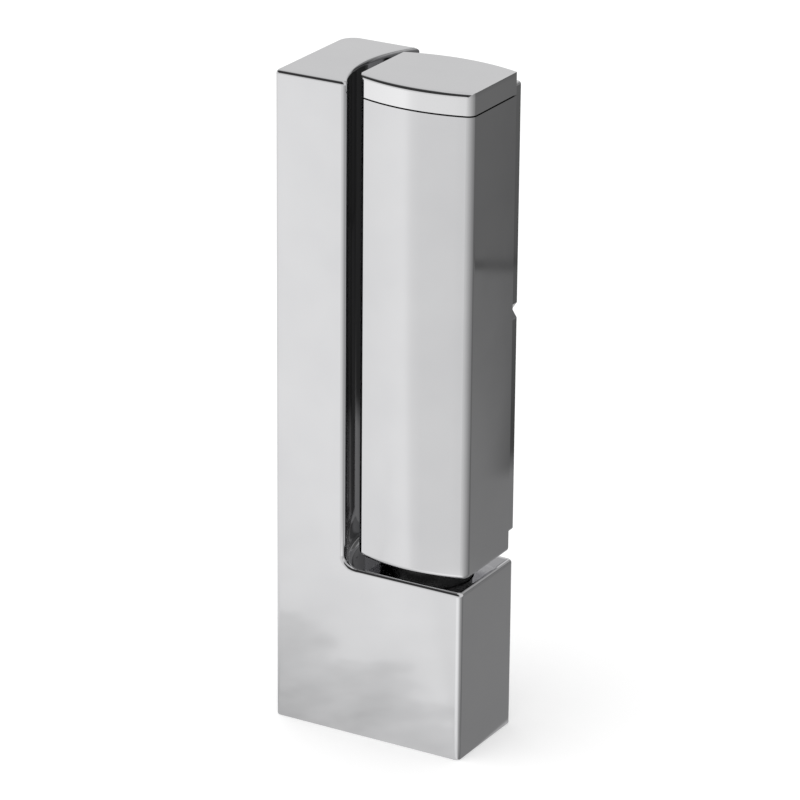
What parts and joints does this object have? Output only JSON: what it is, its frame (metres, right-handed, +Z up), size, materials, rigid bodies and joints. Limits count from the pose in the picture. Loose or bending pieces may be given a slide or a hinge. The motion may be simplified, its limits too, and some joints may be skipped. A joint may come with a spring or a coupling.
{
  "type": "cam-rise hinge",
  "caption": "Self-closing lift hinge: a fixed L-shaped frame body carries a door barrel on a pin, and helical cams raise the barrel as the door opens.",
  "frame": {"origin": "centre of the overall outline at the underside of the foot", "axes": "+Z up along the hinge pin, +X towards the door, +Y towards the mounting faces on the back"},
  "size_m": [0.0406, 0.026, 0.1313],
  "materials": {
    "chrome_casting": "polished chrome plate on a zinc casting",
    "chrome_plate": "chrome plate on a flat plate",
    "steel": "ground stainless steel",
    "acetal": "machined black acetal",
    "black_plastic": "moulded black polyamide",
    "seal_rubber": "moulded rubber"
  },
  "bodies": {
    "frame_side": {"frame_body": "chrome_casting", "lower_cam": "acetal", "lower_cam_pin": "steel", "foot_bush": "acetal", "foot_plug": "black_plastic", "lower_thread_insert": "steel", "upper_thread_insert": "steel"},
    "spindle": {"hinge_pin": "steel", "thrust_washer": "steel", "pin_retaining_ring": "steel"},
    "door_side": {"barrel": "chrome_casting", "upper_cam": "acetal", "upper_cam_pin": "steel", "top_bush": "acetal", "top_bush_ring": "steel", "top_cap": "chrome_casting", "cap_seal": "seal_rubber", "mounting_plate": "chrome_plate", "lower_plate_screw": "steel", "upper_plate_screw": "steel"}
  },
  "joints": [
    {"name": "door_swing", "type": "hinge", "parent": "frame_side", "child": "spindle", "pos_m": [0.0084, -0.0028, 0], "axis": [0, 0, -1], "range_deg": [0, 120]},
    {"name": "cam_lift", "type": "slide", "parent": "spindle", "child": "door_side", "axis": [0, 0, 1], "range_m": [0, 0.008]}
  ],
  "couplings": [
    {"joint": "door_swing", "follows": "cam_lift", "rad_per_m": 261.8}
  ]
}
